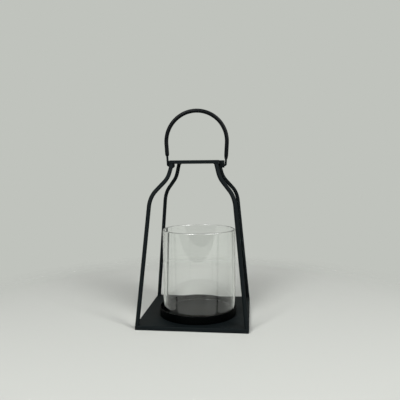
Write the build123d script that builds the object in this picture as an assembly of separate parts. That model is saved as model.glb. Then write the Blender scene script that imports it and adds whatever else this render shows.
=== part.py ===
"""Candle lantern: a cage of bent rod on a folded sheet base, with a small top plate and a bail handle.

A glass tube stands in a dish on the base. Millimetres, Z up, X to the right and Y to the back.
The origin is the middle of the base's underside.
"""
import math
import os

from build123d import *

# Base tray: one square of sheet with its four edges folded down
BASE_SIDE = 161.0
BASE_HEIGHT = 6.0
BASE_SHEET = 1.5
BASE_FOLD_RADIUS = 1.4
BASE_CORNER_RADIUS = 2.0

# Legs: round rod, with the widths taken from the middle of the base to the rod's centre along X and Y
LEG_ROD = 6.0
LEG_EDGE_INSET = 0.2
LEG_LEAN_IN = 17.2
LEG_SHOULDER_HEIGHT = 181.0
LEG_NECK_DROP = 21.2
LEG_NECK_FLARE = 5.4
LEG_SHOULDER_BEND = 35.0
LEG_NECK_BEND = 32.0

# Top plate, welded on the heads of the legs
CAGE_HEIGHT = 228.6
PLATE_SIDE = 72.0
PLATE_THICKNESS = 4.6
PLATE_CORNER_RADIUS = 2.0
PLATE_EDGE_MARGIN = 0.6

# Hinge lugs: blocks on the left and right edges of the plate, level with its top
LUG_LENGTH = 6.6
LUG_WIDTH = 9.0
LUG_HEIGHT = 11.2
LUG_EDGE_RADIUS = 0.8
PIVOT_DROP = 7.4

# Bail: a wire whose ends turn in the lugs, kept there by heads, and whose arc bulges out past the pivots
BAIL_WIRE = 3.3
BAIL_HOOK_BEND = 1.7
BAIL_RISE = 36.4
BAIL_BULGE = 2.0
BAIL_RUNNING_CLEARANCE = 0.08
BAIL_SIDE_PLAY = 0.3
BAIL_HEAD_DIAMETER = 4.8
BAIL_HEAD_THICKNESS = 1.5

# Grip: a sleeve on the wire, with its ends at different heights above the pivot
GRIP_DIAMETER = 6.2
GRIP_BORE_CLEARANCE = 0.05
GRIP_LEFT_END = 14.5
GRIP_LEFT_TAPER = 3.5
GRIP_RIGHT_END = 9.1
GRIP_RIGHT_TAPER = 8.0
GRIP_TIP_WALL = 0.4

# Glass: a straight tube, open at both ends, standing loose in the dish with a small gap on its right
GLASS_DIAMETER = 110.0
GLASS_HEIGHT = 125.0
GLASS_WALL = 2.5
GLASS_RIM_RADIUS = 1.1
GLASS_SIDE_GAP = 0.3

# Dish: a spun pan with a raised floor, in which the glass stands, off the middle of the base
DISH_SHEET = 1.2
DISH_HEIGHT = 11.8
DISH_FLOOR_LIFT = 3.4
DISH_GLASS_PLAY = 2.5
DISH_RIGHT = 2.0
DISH_FORWARD = 11.5
DISH_BEND_RADIUS = 0.8
DISH_RIM_RADIUS = 0.5

# Levels and widths worked out from the sizes above
PLATE_UNDERSIDE = BASE_HEIGHT + CAGE_HEIGHT
PLATE_TOP = PLATE_UNDERSIDE + PLATE_THICKNESS
PIVOT_Z = PLATE_TOP - PIVOT_DROP
LUG_INNER_X = PLATE_SIDE / 2
LUG_OUTER_X = LUG_INNER_X + LUG_LENGTH
BAIL_HALF_SPAN = LUG_OUTER_X + BAIL_SIDE_PLAY + BAIL_HOOK_BEND
BAIL_ARC_Z = PIVOT_Z + BAIL_RISE
BAIL_ARC_RADIUS = BAIL_HALF_SPAN + BAIL_BULGE
GRIP_BORE = BAIL_WIRE + 2 * GRIP_BORE_CLEARANCE
DISH_FLOOR_Z = BASE_HEIGHT + DISH_FLOOR_LIFT + DISH_SHEET
GLASS_X = DISH_RIGHT + DISH_GLASS_PLAY - GLASS_SIDE_GAP

ON_BOTTOM = (Align.CENTER, Align.CENTER, Align.MIN)
CORNERS = {
    "front_left": (-1, -1),
    "front_right": (1, -1),
    "back_left": (-1, 1),
    "back_right": (1, 1),
}
SIDES = {"left": -1, "right": 1}


def bottom_edges(shape):
    """The edges that lie in the shape's lowest plane."""
    return shape.edges().group_by(Axis.Z)[0]


def top_edges(shape):
    """The edges that lie in the shape's highest plane."""
    return shape.edges().group_by(Axis.Z)[-1]


def base_tray():
    """A square of sheet with its edges folded down all round, open underneath."""
    outside = Box(BASE_SIDE, BASE_SIDE, BASE_HEIGHT, align=ON_BOTTOM)
    outside = fillet(outside.edges().filter_by(Axis.Z), BASE_CORNER_RADIUS)
    outside = fillet(top_edges(outside), BASE_FOLD_RADIUS)
    inside_side = BASE_SIDE - 2 * BASE_SHEET
    return outside - Box(inside_side, inside_side, BASE_HEIGHT - BASE_SHEET, align=ON_BOTTOM)


def leg(side_x, side_y):
    """One leg: a rod with a shoulder bend and a neck bend, cut level at its foot and its head."""
    foot_half = BASE_SIDE / 2 - LEG_EDGE_INSET - LEG_ROD / 2
    head_half = PLATE_SIDE / 2 - PLATE_EDGE_MARGIN - LEG_ROD / 2
    stations = [
        (foot_half, BASE_HEIGHT),
        (foot_half - LEG_LEAN_IN, BASE_HEIGHT + LEG_SHOULDER_HEIGHT),
        (head_half + LEG_NECK_FLARE, PLATE_UNDERSIDE - LEG_NECK_DROP),
        (head_half, PLATE_UNDERSIDE),
    ]
    foot, shoulder, neck, head = [Vector(side_x * half, side_y * half, z) for half, z in stations]
    start = foot - (shoulder - foot).normalized() * LEG_ROD
    end = head + (head - neck).normalized() * LEG_ROD
    path = FilletPolyline(start, shoulder, neck, end, radius=[LEG_SHOULDER_BEND, LEG_NECK_BEND])
    rod = sweep(Plane(start, z_dir=shoulder - start) * Circle(LEG_ROD / 2), path=path)
    between = Pos(0, 0, BASE_HEIGHT) * Box(2 * BASE_SIDE, 2 * BASE_SIDE, CAGE_HEIGHT, align=ON_BOTTOM)
    return rod & between


def top_plate():
    """The square plate on the heads of the legs."""
    plate = Box(PLATE_SIDE, PLATE_SIDE, PLATE_THICKNESS, align=ON_BOTTOM)
    plate = fillet(plate.edges().filter_by(Axis.Z), PLATE_CORNER_RADIUS)
    return Pos(0, 0, PLATE_UNDERSIDE) * plate


def hinge_lug(side):
    """A block on the plate's edge, with a bore for the end of the bail wire."""
    middle = Pos(side * (LUG_INNER_X + LUG_LENGTH / 2), 0, PLATE_TOP - LUG_HEIGHT / 2)
    block = middle * Box(LUG_LENGTH, LUG_WIDTH, LUG_HEIGHT)
    outer_face = block.faces().sort_by(Axis.X)[-1 if side > 0 else 0]
    block = fillet(outer_face.edges(), LUG_EDGE_RADIUS)
    bore = Pos(middle.position.X, 0, PIVOT_Z) * Rot(0, 90, 0) * Cylinder(
        BAIL_WIRE / 2 + BAIL_RUNNING_CLEARANCE, 2 * LUG_LENGTH)
    return block - bore


def bail_foot(side):
    """The corner in the bail's path where one side meets the line of the pivots."""
    return Vector(side * BAIL_HALF_SPAN, 0, PIVOT_Z)


def bail_tangent(side):
    """The point where one straight side of the bail runs into its arc."""
    reach = math.hypot(BAIL_HALF_SPAN, BAIL_RISE)
    below = math.atan2(BAIL_RISE, BAIL_HALF_SPAN) - math.acos(BAIL_ARC_RADIUS / reach)
    out = BAIL_ARC_RADIUS * math.cos(below)
    down = BAIL_ARC_RADIUS * math.sin(below)
    return Vector(side * out, 0, BAIL_ARC_Z - down)


def bail_slope(side):
    """The unit vector up one straight side of the bail."""
    return (bail_tangent(side) - bail_foot(side)).normalized()


def bail_arc():
    """The arc over the top of the bail, from its right side to its left side."""
    crown = Vector(0, 0, BAIL_ARC_Z + BAIL_ARC_RADIUS)
    return ThreePointArc(bail_tangent(1), crown, bail_tangent(-1))


def bail_hook(side):
    """The path of one end of the bail, from inside its lug up to the arc."""
    inner = Vector(side * (LUG_INNER_X - BAIL_SIDE_PLAY), 0, PIVOT_Z)
    return FilletPolyline(inner, bail_foot(side), bail_tangent(side), radius=BAIL_HOOK_BEND)


def bail_head(side):
    """The head that keeps one end of the wire in its lug."""
    inner_end = LUG_INNER_X - BAIL_SIDE_PLAY - BAIL_HEAD_THICKNESS / 2
    disc = Cylinder(BAIL_HEAD_DIAMETER / 2, BAIL_HEAD_THICKNESS)
    return Pos(side * inner_end, 0, PIVOT_Z) * Rot(0, 90, 0) * disc


def bail_wire():
    """The whole bail: a horseshoe of wire with inturned ends and their heads."""
    path = Wire(bail_hook(1).edges() + bail_arc().edges() + bail_hook(-1).edges())
    start = Vector(LUG_INNER_X - BAIL_SIDE_PLAY, 0, PIVOT_Z)
    wire = sweep(Plane(start, z_dir=(1, 0, 0)) * Circle(BAIL_WIRE / 2), path=path)
    return wire + bail_head(1) + bail_head(-1)


def grip_end(side, height):
    """The point on one straight side of the bail at a height above the pivot."""
    slope = bail_slope(side)
    return bail_foot(side) + slope * (height / slope.Z)


def grip_tip(side, height, taper):
    """The tapered end of the sleeve, narrowing downwards onto the wire."""
    cone = Cone(GRIP_BORE / 2 + GRIP_TIP_WALL, GRIP_DIAMETER / 2, taper, align=ON_BOTTOM)
    cone -= Cylinder(GRIP_BORE / 2, taper, align=ON_BOTTOM)
    return Plane(grip_end(side, height), z_dir=bail_slope(side)) * cone


def grip_sleeve():
    """The sleeve on the bail: a tube over the arc and down both sides, with tapered ends."""
    right = grip_end(1, GRIP_RIGHT_END) + bail_slope(1) * GRIP_RIGHT_TAPER
    left = grip_end(-1, GRIP_LEFT_END) + bail_slope(-1) * GRIP_LEFT_TAPER
    rise = Line(right, bail_tangent(1))
    fall = Line(bail_tangent(-1), left)
    path = Wire(rise.edges() + bail_arc().edges() + fall.edges())
    section = Circle(GRIP_DIAMETER / 2) - Circle(GRIP_BORE / 2)
    tube = sweep(Plane(right, z_dir=bail_slope(1)) * section, path=path)
    right_tip = grip_tip(1, GRIP_RIGHT_END, GRIP_RIGHT_TAPER)
    left_tip = grip_tip(-1, GRIP_LEFT_END, GRIP_LEFT_TAPER)
    return tube + right_tip + left_tip


def candle_dish():
    """A low pan with an upright rim and a raised floor, wide enough for the glass to stand in."""
    inner_radius = GLASS_DIAMETER / 2 + DISH_GLASS_PLAY
    outside = Cylinder(inner_radius + DISH_SHEET, DISH_HEIGHT, align=ON_BOTTOM)
    inside = Pos(0, 0, DISH_FLOOR_LIFT + DISH_SHEET) * Cylinder(inner_radius, DISH_HEIGHT, align=ON_BOTTOM)
    inside = fillet(bottom_edges(inside), DISH_BEND_RADIUS)
    under = Cylinder(inner_radius, DISH_FLOOR_LIFT, align=ON_BOTTOM)
    under = fillet(top_edges(under), DISH_BEND_RADIUS)
    pan = fillet(top_edges(outside - inside - under), DISH_RIM_RADIUS)
    return Pos(DISH_RIGHT, -DISH_FORWARD, BASE_HEIGHT) * pan


def glass_cylinder():
    """The glass: a straight wall with both of its ends melted round."""
    outside = Cylinder(GLASS_DIAMETER / 2, GLASS_HEIGHT, align=ON_BOTTOM)
    tube = outside - Cylinder(GLASS_DIAMETER / 2 - GLASS_WALL, GLASS_HEIGHT, align=ON_BOTTOM)
    tube = fillet(top_edges(tube), GLASS_RIM_RADIUS)
    return Pos(GLASS_X, -DISH_FORWARD, DISH_FLOOR_Z) * fillet(bottom_edges(tube), GLASS_RIM_RADIUS)


def lantern():
    """Every piece of the lantern by its node's name."""
    pieces = {
        "base_tray": base_tray(),
        "top_plate": top_plate(),
        "bail_wire": bail_wire(),
        "grip_sleeve": grip_sleeve(),
        "candle_dish": candle_dish(),
        "glass_cylinder": glass_cylinder(),
    }
    for name, (side_x, side_y) in CORNERS.items():
        pieces[f"leg_{name}"] = leg(side_x, side_y)
    for name, side in SIDES.items():
        pieces[f"hinge_lug_{name}"] = hinge_lug(side)
    return pieces


os.makedirs("parts", exist_ok=True)
for node, shape in lantern().items():
    export_step(shape, f"parts/{node}.step")
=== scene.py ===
"""Looks of a candle lantern: its paint, welds, leather grip and glass, and the studio that shows them.

Lengths are in metres in the frame of the CAD model: X to the right, Y to the back, Z up, with the
origin under the middle of the base.
"""

import logging
import math
from dataclasses import dataclass, field
from enum import Enum

import bmesh
import bpy
from mathutils import Matrix, Vector


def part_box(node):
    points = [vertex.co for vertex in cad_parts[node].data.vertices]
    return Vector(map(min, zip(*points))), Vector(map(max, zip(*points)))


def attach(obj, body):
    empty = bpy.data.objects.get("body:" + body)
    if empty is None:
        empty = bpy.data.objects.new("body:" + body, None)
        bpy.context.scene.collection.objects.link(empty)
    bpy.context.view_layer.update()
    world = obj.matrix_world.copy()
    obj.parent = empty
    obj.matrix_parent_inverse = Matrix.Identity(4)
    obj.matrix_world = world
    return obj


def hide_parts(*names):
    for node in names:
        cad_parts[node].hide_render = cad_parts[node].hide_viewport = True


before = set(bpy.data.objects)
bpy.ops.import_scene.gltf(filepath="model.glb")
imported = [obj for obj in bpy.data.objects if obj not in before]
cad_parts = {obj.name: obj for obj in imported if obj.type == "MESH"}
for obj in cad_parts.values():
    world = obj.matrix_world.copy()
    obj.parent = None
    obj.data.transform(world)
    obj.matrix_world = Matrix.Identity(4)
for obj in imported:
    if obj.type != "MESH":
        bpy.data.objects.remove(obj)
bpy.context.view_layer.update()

LOG = logging.getLogger("lantern")
CHIMNEY_NAME = "glass_chimney"

MM = 0.001
MERGE_DISTANCE = 0.001 * MM
QUARTER_TURN = math.radians(90.0)
ORIGIN = Vector((0.0, 0.0, 0.0))
UP = Vector((0.0, 0.0, 1.0))
BEND_AXIS = Vector((0.0, 1.0, 0.0))

# Noise textures seldom leave this range.
NOISE_LOW = 0.3
NOISE_HIGH = 0.7

# A ray's depths are whole numbers, so this value parts none from one or more.
HALF_A_BOUNCE = 0.5

# A Mix node's sockets for colours share their names with others, so they go by number.
MIX_SHARE = 0
MIX_FIRST = 6
MIX_SECOND = 7
MIX_RESULT = 2


class Body(Enum):
    """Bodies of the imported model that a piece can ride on."""

    FRAME = "frame"
    HANDLE = "handle"
    GLASS = "glass"


class Slot(Enum):
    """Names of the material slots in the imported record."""

    FRAME_PAINT = "frame_paint"
    GRIP_LEATHER = "grip_leather"
    CLEAR_GLASS = "clear_glass"


class Side(Enum):
    """Left or right of the lantern's middle, as a sign along X."""

    LEFT = -1
    RIGHT = 1


class Depth(Enum):
    """Front or back of the lantern's middle, as a sign along Y."""

    FRONT = -1
    BACK = 1


def linear(hex_colour: str) -> tuple[float, float, float, float]:
    """Turn an sRGB colour into the linear values that shaders take, by the standard's own curve.

    Args:
        hex_colour: The colour as six hexadecimal digits after a hash sign.

    Returns:
        Linear red, green and blue, with full opacity.
    """
    channels = [int(hex_colour[i:i + 2], 16) / 255.0 for i in (1, 3, 5)]
    red, green, blue = [c / 12.92 if c <= 0.04045 else ((c + 0.055) / 1.055) ** 2.4 for c in channels]
    return red, green, blue, 1.0


def per_metre(size_mm: float) -> float:
    """Give the texture scale at which one feature measures size_mm."""
    return 1.0 / (size_mm * MM)


def add_node(
    tree: bpy.types.NodeTree,
    kind: str,
    settings: dict[str | int, object] | None = None,
) -> bpy.types.Node:
    """Add one shader node with its settings and links.

    Args:
        tree: The tree that gets the node.
        kind: Blender's name for the kind of node.
        settings: Values by option name, socket name or socket number. A socket as a value is linked.

    Returns:
        The new node.
    """
    node = tree.nodes.new(kind)
    for key, value in (settings or {}).items():
        if isinstance(key, str) and key not in node.inputs:
            setattr(node, key, value)
        elif isinstance(value, bpy.types.NodeSocket):
            tree.links.new(value, node.inputs[key])
        else:
            node.inputs[key].default_value = value
    return node


def new_material(name: str) -> tuple[bpy.types.Material, bpy.types.NodeTree]:
    """Make a material with an empty node tree.

    Args:
        name: The material's name.

    Returns:
        The material and its tree.
    """
    material = bpy.data.materials.new(name)
    material.use_nodes = True
    material.node_tree.nodes.clear()
    return material, material.node_tree


def path_switches(tree: bpy.types.NodeTree) -> tuple[bpy.types.NodeSocket, bpy.types.NodeSocket]:
    """Tell what is seen straight, or through glass, from what a surface mirrors.

    Args:
        tree: The tree that gets the nodes.

    Returns:
        Two sockets that are 1 where they hold: seen straight, and mirrored.
    """
    path = add_node(tree, "ShaderNodeLightPath").outputs
    seen = add_node(tree, "ShaderNodeMath", {
        "operation": "MAXIMUM",
        0: path["Is Camera Ray"],
        1: path["Is Transmission Ray"],
    }).outputs[0]
    mirrored = add_node(tree, "ShaderNodeMath", {
        "operation": "GREATER_THAN",
        0: path["Glossy Depth"],
        1: HALF_A_BOUNCE,
    }).outputs[0]
    straight = add_node(tree, "ShaderNodeMath", {
        "operation": "SUBTRACT",
        "use_clamp": True,
        0: seen,
        1: mirrored,
    }).outputs[0]
    return straight, mirrored


@dataclass(frozen=True)
class SteelCoat:
    """Powder coat or paint on steel: a matt skin whose orange peel softens each reflection to a sheen.

    The grain of a real coat is about half a millimetre wide, too fine to show in the render, so it is
    drawn coarser. A slow drift of tone and gloss keeps wide faces from looking flat.
    """

    name: str
    colour: str
    rubbed_colour: str
    roughness: float
    roughness_drift: float
    specular_level: float
    grain_mm: float = 1.4
    grain_height_mm: float = 0.006
    drift_mm: float = 38.0

    def material(self) -> bpy.types.Material:
        """Build the coat's node material.

        Returns:
            The material.
        """
        material, tree = new_material(self.name)
        place = add_node(tree, "ShaderNodeTexCoord").outputs["Object"]
        drift = add_node(tree, "ShaderNodeTexNoise", {
            "Vector": place,
            "Scale": per_metre(self.drift_mm),
            "Detail": 4.0,
            "Roughness": 0.6,
        }).outputs[0]
        grain = add_node(tree, "ShaderNodeTexNoise", {
            "Vector": place,
            "Scale": per_metre(self.grain_mm),
            "Detail": 2.0,
        }).outputs[0]
        tone = add_node(tree, "ShaderNodeMix", {
            "data_type": "RGBA",
            MIX_SHARE: drift,
            MIX_FIRST: linear(self.colour),
            MIX_SECOND: linear(self.rubbed_colour),
        }).outputs[MIX_RESULT]
        gloss = add_node(tree, "ShaderNodeMapRange", {
            "Value": drift,
            "From Min": NOISE_LOW,
            "From Max": NOISE_HIGH,
            "To Min": self.roughness - self.roughness_drift,
            "To Max": self.roughness + self.roughness_drift,
        }).outputs[0]
        peel = add_node(tree, "ShaderNodeBump", {
            "Height": grain,
            "Distance": self.grain_height_mm * MM,
        }).outputs[0]
        shader = add_node(tree, "ShaderNodeBsdfPrincipled", {
            "Base Color": tone,
            "Roughness": gloss,
            "Specular IOR Level": self.specular_level,
            "Normal": peel,
        }).outputs[0]
        add_node(tree, "ShaderNodeOutputMaterial", {"Surface": shader})
        return material


@dataclass(frozen=True)
class SmoothLeather:
    """Black hide with its grain pressed flat: small pebbles, creases darkened with painted shade, a dull
    waxed shine.

    Each pebble is domed, and the dome is full from dome_edge pebble widths inside its crease. The pebbles
    of such a hide are about half a millimetre wide, too fine to show in the render, so they are drawn
    coarser.
    """

    name: str
    colour: str
    crease_shade_colour: str
    roughness: float
    specular_level: float
    roughness_drift: float = 0.08
    pebble_mm: float = 1.1
    pebble_height_mm: float = 0.008
    dome_edge: float = 0.28
    relief_strength: float = 0.6
    drift_mm: float = 22.0

    def material(self) -> bpy.types.Material:
        """Build the hide's node material.

        Returns:
            The material.
        """
        material, tree = new_material(self.name)
        place = add_node(tree, "ShaderNodeTexCoord").outputs["Object"]
        pebbles = add_node(tree, "ShaderNodeTexVoronoi", {
            "feature": "DISTANCE_TO_EDGE",
            "Vector": place,
            "Scale": per_metre(self.pebble_mm),
            "Randomness": 1.0,
        }).outputs["Distance"]
        domes = add_node(tree, "ShaderNodeMapRange", {
            "interpolation_type": "SMOOTHSTEP",
            "Value": pebbles,
            "From Max": self.dome_edge,
        }).outputs[0]
        drift = add_node(tree, "ShaderNodeTexNoise", {
            "Vector": place,
            "Scale": per_metre(self.drift_mm),
            "Detail": 3.0,
        }).outputs[0]
        # Painted shade: the creases between the pebbles take the darker colour.
        tone = add_node(tree, "ShaderNodeMix", {
            "data_type": "RGBA",
            MIX_SHARE: domes,
            MIX_FIRST: linear(self.crease_shade_colour),
            MIX_SECOND: linear(self.colour),
        }).outputs[MIX_RESULT]
        wax = add_node(tree, "ShaderNodeMapRange", {
            "Value": drift,
            "From Min": NOISE_LOW,
            "From Max": NOISE_HIGH,
            "To Min": self.roughness - self.roughness_drift,
            "To Max": self.roughness + self.roughness_drift,
        }).outputs[0]
        relief = add_node(tree, "ShaderNodeBump", {
            "Height": domes,
            "Distance": self.pebble_height_mm * MM,
            "Strength": self.relief_strength,
        }).outputs[0]
        shader = add_node(tree, "ShaderNodeBsdfPrincipled", {
            "Base Color": tone,
            "Roughness": wax,
            "Specular IOR Level": self.specular_level,
            "Normal": relief,
        }).outputs[0]
        add_node(tree, "ShaderNodeOutputMaterial", {"Surface": shader})
        return material


@dataclass(frozen=True)
class ClearGlass:
    """Drawn soda-lime glass: clear, with faint lengthwise ripples that bend what is seen through it.

    Where it was melted smooth it is a little softer, with a skin that spreads each glint.
    """

    name: str
    colour: str
    roughness: float = 0.0
    skin: float = 0.0
    skin_roughness: float = 0.2
    ior: float = 1.5
    ripple_mm: float = 16.0
    ripple_stretch: float = 0.25
    ripple_height_mm: float = 0.02

    def material(self) -> bpy.types.Material:
        """Build the glass's node material.

        Returns:
            The material.
        """
        material, tree = new_material(self.name)
        place = add_node(tree, "ShaderNodeTexCoord").outputs["Object"]
        lengthwise = add_node(tree, "ShaderNodeMapping", {
            "Vector": place,
            "Scale": (1.0, 1.0, self.ripple_stretch),
        }).outputs[0]
        waves = add_node(tree, "ShaderNodeTexNoise", {
            "Vector": lengthwise,
            "Scale": per_metre(self.ripple_mm),
            "Detail": 0.0,
        }).outputs[0]
        ripple = add_node(tree, "ShaderNodeBump", {
            "Height": waves,
            "Distance": self.ripple_height_mm * MM,
        }).outputs[0]
        shader = add_node(tree, "ShaderNodeBsdfPrincipled", {
            "Base Color": linear(self.colour),
            "Roughness": self.roughness,
            "IOR": self.ior,
            "Transmission Weight": 1.0,
            "Coat Weight": self.skin,
            "Coat Roughness": self.skin_roughness,
            "Normal": ripple,
        }).outputs[0]
        add_node(tree, "ShaderNodeOutputMaterial", {"Surface": shader})
        return material


@dataclass(frozen=True)
class FadingPaint:
    """Pale matt paint on the table: it takes soft shadows, and clears with distance to the backdrop.

    It clears only where it is seen straight, so that it lights the lantern from below all the way out.
    """

    name: str
    colour: str
    roughness: float
    specular_level: float
    fade_start: float
    fade_end: float

    def material(self) -> bpy.types.Material:
        """Build the paint's node material.

        Returns:
            The material.
        """
        material, tree = new_material(self.name)
        place = add_node(tree, "ShaderNodeTexCoord").outputs["Object"]
        reach = add_node(tree, "ShaderNodeVectorMath", {"operation": "LENGTH", 0: place}).outputs["Value"]
        fade = add_node(tree, "ShaderNodeMapRange", {
            "interpolation_type": "SMOOTHSTEP",
            "Value": reach,
            "From Min": self.fade_start,
            "From Max": self.fade_end,
        }).outputs[0]
        straight, _ = path_switches(tree)
        gone = add_node(tree, "ShaderNodeMath", {"operation": "MULTIPLY", 0: fade, 1: straight}).outputs[0]
        paint = add_node(tree, "ShaderNodeBsdfPrincipled", {
            "Base Color": linear(self.colour),
            "Roughness": self.roughness,
            "Specular IOR Level": self.specular_level,
        }).outputs[0]
        clear = add_node(tree, "ShaderNodeBsdfTransparent").outputs[0]
        mixed = add_node(tree, "ShaderNodeMixShader", {0: gone, 1: paint, 2: clear}).outputs[0]
        add_node(tree, "ShaderNodeOutputMaterial", {"Surface": mixed})
        return material


# Powder coat of the frame: a cool near black, matt enough to hold only a wide sheen.
FRAME_COAT = SteelCoat(
    name="black_powder_coat",
    colour="#070D0E",
    rubbed_colour="#0B1214",
    roughness=0.64,
    roughness_drift=0.05,
    specular_level=0.1,
)
# The same coat over a weld: lumpier, and a little glossier where it ran thin.
WELD_COAT = SteelCoat(
    name="black_powder_coat_on_weld",
    colour="#070D0E",
    rubbed_colour="#0D1416",
    roughness=0.58,
    roughness_drift=0.06,
    specular_level=0.12,
    grain_mm=0.9,
    grain_height_mm=0.03,
)
# Thin paint on the spun dish: the deepest black, smooth enough to mirror the backdrop at a low angle.
DISH_COAT = SteelCoat(
    name="black_paint_on_spun_steel",
    colour="#010202",
    rubbed_colour="#020303",
    roughness=0.4,
    roughness_drift=0.05,
    specular_level=0.02,
    grain_mm=1.0,
    grain_height_mm=0.004,
)
# Hide of the grip: black, with a narrow dull shine along its crown and painted shade in its creases.
GRIP_HIDE = SmoothLeather(
    name="black_smooth_leather",
    colour="#06090C",
    crease_shade_colour="#05080A",
    roughness=0.4,
    specular_level=0.12,
)
# Wall of the chimney, clear and sharp, and its melted edges, which spread a glint along the rim.
CHIMNEY_GLASS = ClearGlass(name="clear_soda_lime_glass", colour="#FDFEFD")
CHIMNEY_EDGE = ClearGlass(name="fire_polished_glass_edge", colour="#FDFEFD", roughness=0.2, skin=1.0)
# Table under the lantern: pale grey and dull, so that soft shadows show on it.
TABLE_PAINT = FadingPaint(
    name="pale_matt_table",
    colour="#C2C4BF",
    roughness=0.7,
    specular_level=0.2,
    fade_start=0.30,
    fade_end=0.50,
)


def dress_node(node: str, material: bpy.types.Material) -> bpy.types.Object:
    """Give a CAD node's object one material in all its slots.

    Args:
        node: The node's name.
        material: The finish it gets.

    Returns:
        The node's object.
    """
    piece = bpy.data.objects[node]
    for holder in piece.material_slots:
        holder.material = material
    return piece


def make_piece(
    name: str,
    mesh: bmesh.types.BMesh,
    finishes: list[bpy.types.Material],
    body: Body,
) -> bpy.types.Object:
    """Turn a bmesh into a smooth piece that rides on a body.

    Args:
        name: The piece's name.
        mesh: Its shape, which is freed here.
        finishes: Its materials, in the order of its faces' material numbers.
        body: The body that carries it.

    Returns:
        The finished piece.
    """
    bmesh.ops.remove_doubles(mesh, verts=mesh.verts, dist=MERGE_DISTANCE)
    bmesh.ops.recalc_face_normals(mesh, faces=mesh.faces)
    for face in mesh.faces:
        face.smooth = True
    data = bpy.data.meshes.new(name)
    mesh.to_mesh(data)
    mesh.free()
    for finish in finishes:
        data.materials.append(finish)
    piece = bpy.data.objects.new(name, data)
    bpy.context.scene.collection.objects.link(piece)
    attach(piece, body.value)
    return piece


def only_edges(geometry: list) -> list[bmesh.types.BMEdge]:
    """Pick the edges out of an operator's result."""
    return [part for part in geometry if isinstance(part, bmesh.types.BMEdge)]


def only_verts(geometry: list) -> list[bmesh.types.BMVert]:
    """Pick the vertices out of an operator's result."""
    return [part for part in geometry if isinstance(part, bmesh.types.BMVert)]


def extrude_ring(
    mesh: bmesh.types.BMesh,
    ring: list[bmesh.types.BMEdge],
) -> tuple[list[bmesh.types.BMEdge], list[bmesh.types.BMVert]]:
    """Extrude a ring of edges in place.

    Args:
        mesh: The mesh that holds the ring.
        ring: The ring's edges.

    Returns:
        The new ring's edges and its vertices.
    """
    geometry = bmesh.ops.extrude_edge_only(mesh, edges=ring)["geom"]
    verts = only_verts(geometry)
    ends = set(verts)
    edges = [edge for edge in only_edges(geometry) if ends.issuperset(edge.verts)]
    return edges, verts


def resize_ring(mesh: bmesh.types.BMesh, ring: list[bmesh.types.BMVert], factor: float) -> None:
    """Scale a ring of vertices about its own middle.

    Args:
        mesh: The mesh that holds the ring.
        ring: The ring's vertices.
        factor: The scale, the same along every axis.
    """
    middle = sum((vert.co for vert in ring), Vector()) / len(ring)
    bmesh.ops.scale(mesh, vec=(factor, factor, factor), space=Matrix.Translation(-middle), verts=ring)


def hold_flats(profile: bmesh.types.BMesh, margin: float) -> None:
    """Add a point near each end of a profile's long runs, so that smooth shading leaves them flat.

    Args:
        profile: The profile, as edges.
        margin: How far from a run's end its point lies. A long run is at least four times as long.
    """
    long_runs = [edge for edge in profile.edges if edge.calc_length() >= 4.0 * margin]
    for run in long_runs:
        for end in list(run.verts):
            bmesh.utils.edge_split(run, end, margin / run.calc_length())


@dataclass
class BaseAndDish:
    """Folded sheet base with the spun dish that the glass stands in."""

    coat: bpy.types.Material

    def build(self) -> list[bpy.types.Object]:
        """Dress the base and the dish.

        Returns:
            Their objects.
        """
        return [
            dress_node("base_tray", self.coat),
            dress_node("candle_dish", DISH_COAT.material()),
        ]


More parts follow.
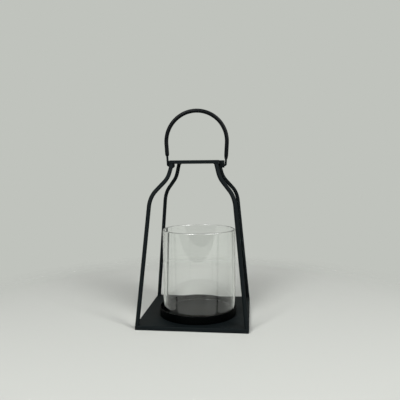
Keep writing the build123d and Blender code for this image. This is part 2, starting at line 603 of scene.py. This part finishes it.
@dataclass
class Cage:
    """Four bent rods, the plate and lugs on top of them, and the welds that hold them together.

    A weld bead is sunk into its rod by a share of the bead's radius. It tapers along half a wave, which
    is cut off at each end by a share of its length, and swells and shrinks along its ripples.
    """

    coat: bpy.types.Material
    rod_radius: float = 3.0 * MM
    head_inset: float = 3.6 * MM
    bead_radius: float = 1.1 * MM
    bead_spread: float = math.radians(78.0)
    bead_steps: int = 30
    bead_sides: int = 10
    bead_sunk: float = 0.675
    bead_cut: float = 0.06
    ripple_share: float = 0.12
    ripples: float = 7.0
    plain_nodes: tuple[str, ...] = ("top_plate", "hinge_lug_left", "hinge_lug_right")

    def build(self) -> list[bpy.types.Object]:
        """Dress the rods, the plate and the lugs, and lay the weld beads.

        Returns:
            The dressed nodes and the beads.
        """
        weld = WELD_COAT.material()
        base_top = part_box("base_tray")[1].z
        plate_low, plate_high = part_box("top_plate")
        head_reach = plate_high.x - self.head_inset
        pieces = [dress_node(node, self.coat) for node in self.plain_nodes]
        for depth in Depth:
            for side in Side:
                corner = f"{depth.name}_{side.name}".lower()
                leg = f"leg_{corner}"
                low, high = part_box(leg)
                foot = Vector((
                    (low if side is Side.LEFT else high).x - side.value * self.rod_radius,
                    (low if depth is Depth.FRONT else high).y - depth.value * self.rod_radius,
                    base_top,
                ))
                head = Vector((side.value * head_reach, depth.value * head_reach, plate_low.z))
                pieces.append(dress_node(leg, self.coat))
                pieces.append(self.bead(f"weld_foot_{corner}", foot, weld))
                pieces.append(self.bead(f"weld_head_{corner}", head, weld))
        return pieces

    def bead(self, name: str, centre: Vector, finish: bpy.types.Material) -> bpy.types.Object:
        """Lay a weld bead round the inward side of a rod's end.

        Args:
            name: The piece's name.
            centre: The middle of the rod's end, on the face that it is welded to.
            finish: The paint on the bead.

        Returns:
            The bead.
        """
        inward = math.atan2(-centre.y, -centre.x)
        track = self.rod_radius + (1.0 - self.bead_sunk) * self.bead_radius
        mesh = bmesh.new()
        ring = bmesh.ops.create_circle(mesh, segments=self.bead_sides, radius=self.bead_radius)["verts"]
        edges = list(mesh.edges)
        upright = Matrix.Rotation(QUARTER_TURN, 3, "X")
        bmesh.ops.rotate(mesh, cent=ORIGIN, matrix=upright, verts=ring)
        bmesh.ops.translate(mesh, vec=(track, 0.0, 0.0), verts=ring)
        start = Matrix.Rotation(inward - self.bead_spread, 3, "Z")
        bmesh.ops.rotate(mesh, cent=ORIGIN, matrix=start, verts=ring)
        bmesh.ops.translate(mesh, vec=centre, verts=ring)
        turn = Matrix.Rotation(2.0 * self.bead_spread / self.bead_steps, 3, "Z")
        size = self.bead_size(0.0)
        resize_ring(mesh, ring, size)
        first = ring
        for step in range(1, self.bead_steps + 1):
            edges, ring = extrude_ring(mesh, edges)
            bmesh.ops.rotate(mesh, cent=centre, matrix=turn, verts=ring)
            new_size = self.bead_size(step / self.bead_steps)
            resize_ring(mesh, ring, new_size / size)
            size = new_size
        bmesh.ops.contextual_create(mesh, geom=first)
        bmesh.ops.contextual_create(mesh, geom=ring)
        return make_piece(name, mesh, [finish], Body.FRAME)

    def bead_size(self, along: float) -> float:
        """Give the bead's thickness as a share of its full one, at a share of its length."""
        taper = math.sqrt(math.sin(math.pi * (self.bead_cut + (1.0 - 2.0 * self.bead_cut) * along)))
        return taper * (1.0 + self.ripple_share * math.sin(2.0 * math.pi * self.ripples * along))


@dataclass(frozen=True)
class SleeveEnd:
    """One end of the leather sleeve: its height above the pivots, and the length that narrows to it."""

    side: Side
    height: float
    taper: float


@dataclass
class Bail:
    """Swinging wire handle, bent to a horseshoe, with a leather sleeve over its crown.

    The middle of its bend lies above the pivots by the rise, and on each side the bend stands out past
    them by the bulge. So the bend runs on below its middle by an angle, the overrun, and the straight
    sides under it lean in. The sleeve narrows to a thin wall at its tips and closes inside the wire.
    """

    coat: bpy.types.Material
    wire_radius: float = 1.65 * MM
    rise: float = 36.4 * MM
    bulge: float = 2.0 * MM
    right_end: SleeveEnd = SleeveEnd(side=Side.RIGHT, height=9.1 * MM, taper=8.0 * MM)
    left_end: SleeveEnd = SleeveEnd(side=Side.LEFT, height=14.5 * MM, taper=3.5 * MM)
    taper_power: float = 0.8
    tip_wall: float = 0.4 * MM
    tip_share_of_wire: float = 0.95
    seam_depth: float = 0.35 * MM
    seam_width: float = math.radians(9.0)
    section_sides: int = 48
    arc_steps: int = 104
    run_steps: int = 8
    taper_steps: int = 6
    arc_radius: float = field(init=False)
    arc_height: float = field(init=False)
    sleeve_radius: float = field(init=False)
    overrun: float = field(init=False)
    side_length: float = field(init=False)

    def __post_init__(self) -> None:
        """Read the bend of the wire and the sleeve's thickness from the CAD model."""
        wire_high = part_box("bail_wire")[1]
        self.arc_radius = wire_high.x - self.wire_radius
        self.arc_height = wire_high.z - self.wire_radius - self.arc_radius
        self.sleeve_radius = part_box("grip_sleeve")[1].x - self.arc_radius
        half_span = self.arc_radius - self.bulge
        reach = math.hypot(half_span, self.rise)
        self.overrun = math.atan2(self.rise, half_span) - math.acos(self.arc_radius / reach)
        self.side_length = math.sqrt(reach ** 2 - self.arc_radius ** 2)

    def build(self) -> list[bpy.types.Object]:
        """Dress the wire and make the sleeve.

        Returns:
            The wire's object and the sleeve.
        """
        wire = dress_node("bail_wire", self.coat)
        sleeve = self.sleeve(GRIP_HIDE.material())
        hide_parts("grip_sleeve")
        return [wire, sleeve]

    def sleeve(self, finish: bpy.types.Material) -> bpy.types.Object:
        """Make the leather sleeve: a round section with a seam, run over the bend, with drawn-in ends.

        Args:
            finish: The leather.

        Returns:
            The sleeve.
        """
        mesh = bmesh.new()
        circle = bmesh.ops.create_circle(mesh, segments=self.section_sides, radius=self.sleeve_radius)
        section = circle["verts"]
        self.cut_seam(section)
        centre = Vector((0.0, 0.0, self.arc_height))
        bmesh.ops.translate(mesh, vec=centre + Vector((self.arc_radius, 0.0, 0.0)), verts=section)
        tilt = Matrix.Rotation(self.overrun, 3, "Y")
        bmesh.ops.rotate(mesh, cent=centre, matrix=tilt, verts=section)
        right_ring = list(mesh.edges)
        spun = bmesh.ops.spin(
            mesh,
            geom=list(mesh.verts) + right_ring,
            cent=centre,
            axis=BEND_AXIS,
            angle=-math.pi - 2.0 * self.overrun,
            steps=self.arc_steps,
        )
        left_ring = only_edges(spun["geom_last"])
        self.run_down(mesh, right_ring, self.right_end)
        self.run_down(mesh, left_ring, self.left_end)
        return make_piece("leather_grip", mesh, [finish], Body.HANDLE)

    def cut_seam(self, section: list[bmesh.types.BMVert]) -> None:
        """Press the seam's groove into a round section, on the side that faces the bend's middle.

        Args:
            section: The section's vertices, about the origin.
        """
        for vert in section:
            off_seam = abs(math.atan2(vert.co.y, -vert.co.x))
            if off_seam < self.seam_width:
                depth = self.seam_depth * (1.0 - off_seam / self.seam_width)
                vert.co *= 1.0 - depth / self.sleeve_radius

    def run_down(self, mesh: bmesh.types.BMesh, ring: list[bmesh.types.BMEdge], end: SleeveEnd) -> None:
        """Run a ring of the sleeve down one straight side, draw it in to the wire and close it.

        Args:
            mesh: The sleeve's mesh.
            ring: The ring's edges, where the bend meets the straight side.
            end: The end that the ring runs to.
        """
        down = Vector((-end.side.value * math.sin(self.overrun), 0.0, -math.cos(self.overrun)))
        straight = self.side_length - end.height / math.cos(self.overrun) - end.taper
        for _ in range(self.run_steps):
            ring, verts = extrude_ring(mesh, ring)
            bmesh.ops.translate(mesh, vec=down * straight / self.run_steps, verts=verts)
        size = 1.0
        tip = (self.wire_radius + self.tip_wall) / self.sleeve_radius
        for step in range(1, self.taper_steps + 1):
            ring, verts = extrude_ring(mesh, ring)
            bmesh.ops.translate(mesh, vec=down * end.taper / self.taper_steps, verts=verts)
            to_go = 1.0 - step / self.taper_steps
            new_size = tip + (1.0 - tip) * math.sin(QUARTER_TURN * to_go) ** self.taper_power
            resize_ring(mesh, verts, new_size / size)
            size = new_size
        ring, verts = extrude_ring(mesh, ring)
        resize_ring(mesh, verts, self.tip_share_of_wire * self.wire_radius / self.sleeve_radius / size)
        bmesh.ops.contextual_create(mesh, geom=verts)


@dataclass
class GlassChimney:
    """Straight glass tube, open at both ends, with fire-polished edges."""

    wall: float = 2.5 * MM
    edge_radius: float = 1.1 * MM
    edge_segments: int = 8
    flat_margin: float = 0.15 * MM
    turns: int = 192

    def build(self) -> list[bpy.types.Object]:
        """Make the tube in place of its CAD solid.

        Returns:
            The tube.
        """
        tube = self.tube([CHIMNEY_GLASS.material(), CHIMNEY_EDGE.material()])
        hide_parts("glass_cylinder")
        return [tube]

    def tube(self, finishes: list[bpy.types.Material]) -> bpy.types.Object:
        """Spin the tube from the section of its wall.

        Args:
            finishes: The glass of the wall and the glass of the rounded edges.

        Returns:
            The tube.
        """
        low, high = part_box("glass_cylinder")
        middle = 0.5 * (low + high)
        height = high.z - low.z
        mesh = bmesh.new()
        # A circle of four segments with this radius is a square with sides of 1, standing on a corner.
        bmesh.ops.create_circle(mesh, segments=4, radius=math.sqrt(0.5))
        upright = Matrix.Rotation(QUARTER_TURN, 3, "X") @ Matrix.Rotation(0.5 * QUARTER_TURN, 3, "Z")
        bmesh.ops.rotate(mesh, cent=ORIGIN, matrix=upright, verts=mesh.verts)
        bmesh.ops.scale(mesh, vec=(self.wall, 1.0, height), verts=mesh.verts)
        bmesh.ops.translate(mesh, vec=(high.x - 0.5 * self.wall, middle.y, middle.z), verts=mesh.verts)
        bmesh.ops.bevel(
            mesh,
            geom=list(mesh.verts),
            offset=self.edge_radius,
            affect="VERTICES",
            segments=self.edge_segments,
            profile=0.5,
            material=-1,
        )
        hold_flats(mesh, self.flat_margin)
        bmesh.ops.spin(
            mesh,
            geom=list(mesh.verts) + list(mesh.edges),
            cent=middle,
            axis=UP,
            angle=2.0 * math.pi,
            steps=self.turns,
            use_merge=True,
        )
        wall_reach = 0.5 * height - self.edge_radius
        for face in mesh.faces:
            on_edge = abs(face.calc_center_median().z - middle.z) > wall_reach
            face.material_index = int(on_edge)
        return make_piece(CHIMNEY_NAME, mesh, finishes, Body.GLASS)


@dataclass(frozen=True)
class Softbox:
    """A soft rectangular lamp that looks at the lantern, or lights one piece of it alone.

    Its azimuth, in degrees, is counted from straight in front to the right, and its elevation from level.
    Its power is in watts.
    """

    name: str
    azimuth: float
    width: float
    power: float
    elevation: float = 36.0
    distance: float = 2.2
    height: float = 1.7
    only_on: str = ""

    def build(self, target: Vector) -> None:
        """Hang the lamp.

        Args:
            target: The point that it looks at.
        """
        lamp = bpy.data.lights.new(self.name, "AREA")
        lamp.shape = "RECTANGLE"
        lamp.size = self.width
        lamp.size_y = self.height
        lamp.energy = self.power
        azimuth = math.radians(self.azimuth)
        elevation = math.radians(self.elevation)
        towards = Vector((
            math.sin(azimuth) * math.cos(elevation),
            -math.cos(azimuth) * math.cos(elevation),
            math.sin(elevation),
        ))
        holder = bpy.data.objects.new(self.name, lamp)
        holder.location = target + towards * self.distance
        holder.rotation_euler = towards.to_track_quat("Z", "Y").to_euler()
        holder.visible_camera = False
        bpy.context.scene.collection.objects.link(holder)
        if self.only_on:
            self.keep_to_piece(holder)

    def keep_to_piece(self, holder: bpy.types.Object) -> None:
        """Let the lamp light one piece, and nothing by way of a bounce or through that piece.

        Args:
            holder: The lamp's object.
        """
        lit = bpy.data.collections.new(f"lit_by_{self.name}")
        lit.objects.link(bpy.data.objects[self.only_on])
        holder.light_linking.receiver_collection = lit
        holder.visible_transmission = False
        holder.data.use_nodes = True
        tree = holder.data.node_tree
        tree.nodes.clear()
        path = add_node(tree, "ShaderNodeLightPath").outputs
        bounces = add_node(tree, "ShaderNodeMath", {
            "operation": "ADD",
            0: path["Diffuse Depth"],
            1: path["Glossy Depth"],
        }).outputs[0]
        direct = add_node(tree, "ShaderNodeMath", {
            "operation": "LESS_THAN",
            0: bounces,
            1: HALF_A_BOUNCE,
        }).outputs[0]
        shine = add_node(tree, "ShaderNodeEmission", {"Strength": direct}).outputs[0]
        add_node(tree, "ShaderNodeOutputLight", {"Surface": shine})


@dataclass
class Studio:
    """Pale table, pale backdrop, soft lamps and the camera.

    The two windows light everything. Two wider lamps beside them put the glints on the glass's rim. Each
    blend is half the width of a band of directions: across the first the backdrop turns into the far
    room, and across the second it ends at the horizon. The camera's angles are in degrees.
    """

    backdrop_colour: str = "#C0C3BD"
    far_room_colour: str = "#2E2F30"
    ambient_colour: str = "#FFFFFF"
    ambient_strength: float = 0.24
    far_room_blend: float = 0.3
    horizon_blend: float = 0.02
    floor_front: float = -0.512
    floor_back: float = 1.4
    floor_half_width: float = 1.4
    picture_side_px: float = 400.0
    focal_length_px: float = 452.25
    sensor_width_mm: float = 36.0
    camera_place: tuple[float, float, float] = (0.08405, -0.69049, 0.22773)
    camera_yaw: float = 6.543
    camera_pitch: float = -4.044
    camera_roll: float = -0.461
    lamp_target: tuple[float, float, float] = (0.0, 0.0, 0.12)
    lamps: tuple[Softbox, ...] = (
        Softbox(name="window_left", azimuth=-22.0, width=0.75, power=42.0),
        Softbox(name="window_right", azimuth=49.0, width=0.65, power=38.0),
        Softbox(name="glint_left", azimuth=-24.0, width=1.2, power=112.0, only_on=CHIMNEY_NAME),
        Softbox(name="glint_right", azimuth=53.0, width=1.2, power=150.0, only_on=CHIMNEY_NAME),
    )

    def build(self) -> None:
        """Set up the whole studio."""
        bpy.context.scene.view_settings.view_transform = "Standard"
        self.floor()
        self.surroundings()
        for lamp in self.lamps:
            lamp.build(Vector(self.lamp_target))
        self.camera()

    def floor(self) -> None:
        """Lay the pale table top, which takes the lantern's shadow."""
        mesh = bmesh.new()
        bmesh.ops.create_grid(mesh, x_segments=1, y_segments=1, size=1.0)
        half_depth = 0.5 * (self.floor_back - self.floor_front)
        bmesh.ops.scale(mesh, vec=(self.floor_half_width, half_depth, 1.0), verts=mesh.verts)
        bmesh.ops.translate(mesh, vec=(0.0, self.floor_front + half_depth, 0.0), verts=mesh.verts)
        data = bpy.data.meshes.new("table_top")
        mesh.to_mesh(data)
        mesh.free()
        data.materials.append(TABLE_PAINT.material())
        table = bpy.data.objects.new("table_top", data)
        bpy.context.scene.collection.objects.link(table)

    def surroundings(self) -> None:
        """Surround the lantern with a pale backdrop, and a dimmer room in front for its reflections."""
        world = bpy.data.worlds.new("studio")
        world.use_nodes = True
        tree = world.node_tree
        tree.nodes.clear()
        direction = add_node(tree, "ShaderNodeTexCoord").outputs["Generated"]
        along = add_node(tree, "ShaderNodeSeparateXYZ", {"Vector": direction}).outputs
        behind = add_node(tree, "ShaderNodeMapRange", {
            "Value": along["Y"],
            "From Min": -self.far_room_blend,
            "From Max": self.far_room_blend,
        }).outputs[0]
        above = add_node(tree, "ShaderNodeMapRange", {
            "Value": along["Z"],
            "From Min": -self.horizon_blend,
            "From Max": self.horizon_blend,
        }).outputs[0]
        pale = add_node(tree, "ShaderNodeMath", {"operation": "MULTIPLY", 0: behind, 1: above}).outputs[0]
        room = add_node(tree, "ShaderNodeMix", {
            "data_type": "RGBA",
            MIX_SHARE: pale,
            MIX_FIRST: linear(self.far_room_colour),
            MIX_SECOND: linear(self.backdrop_colour),
        }).outputs[MIX_RESULT]
        straight, mirrored = path_switches(tree)
        ambient = add_node(tree, "ShaderNodeBackground", {
            "Color": linear(self.ambient_colour),
            "Strength": self.ambient_strength,
        }).outputs[0]
        reflection = add_node(tree, "ShaderNodeBackground", {"Color": room}).outputs[0]
        backdrop = add_node(tree, "ShaderNodeBackground", {"Color": linear(self.backdrop_colour)}).outputs[0]
        lit = add_node(tree, "ShaderNodeMixShader", {0: mirrored, 1: ambient, 2: reflection}).outputs[0]
        shown = add_node(tree, "ShaderNodeMixShader", {0: straight, 1: lit, 2: backdrop}).outputs[0]
        add_node(tree, "ShaderNodeOutputWorld", {"Surface": shown})
        bpy.context.scene.world = world

    def camera(self) -> None:
        """Place the camera at the photograph's viewpoint."""
        data = bpy.data.cameras.new("camera")
        data.sensor_width = self.sensor_width_mm
        data.lens = self.focal_length_px / self.picture_side_px * self.sensor_width_mm
        holder = bpy.data.objects.new("camera", data)
        aim = Matrix.Rotation(math.radians(self.camera_yaw), 4, "Z")
        aim @= Matrix.Rotation(QUARTER_TURN + math.radians(self.camera_pitch), 4, "X")
        aim @= Matrix.Rotation(math.radians(self.camera_roll), 4, "Z")
        holder.matrix_world = Matrix.Translation(self.camera_place) @ aim
        bpy.context.scene.collection.objects.link(holder)
        bpy.context.scene.camera = holder


def main() -> None:
    """Build the lantern and its studio, and report each piece."""
    logging.basicConfig(level=logging.INFO, format="%(name)s: %(message)s")
    coat = FRAME_COAT.material()
    for assembly in (BaseAndDish(coat), Cage(coat), Bail(coat), GlassChimney()):
        for piece in assembly.build():
            finish = piece.material_slots[0].material
            LOG.info("%s: %s in %s", type(assembly).__name__, piece.name, finish.name)
    Studio().build()


if __name__ == "__main__":
    main()
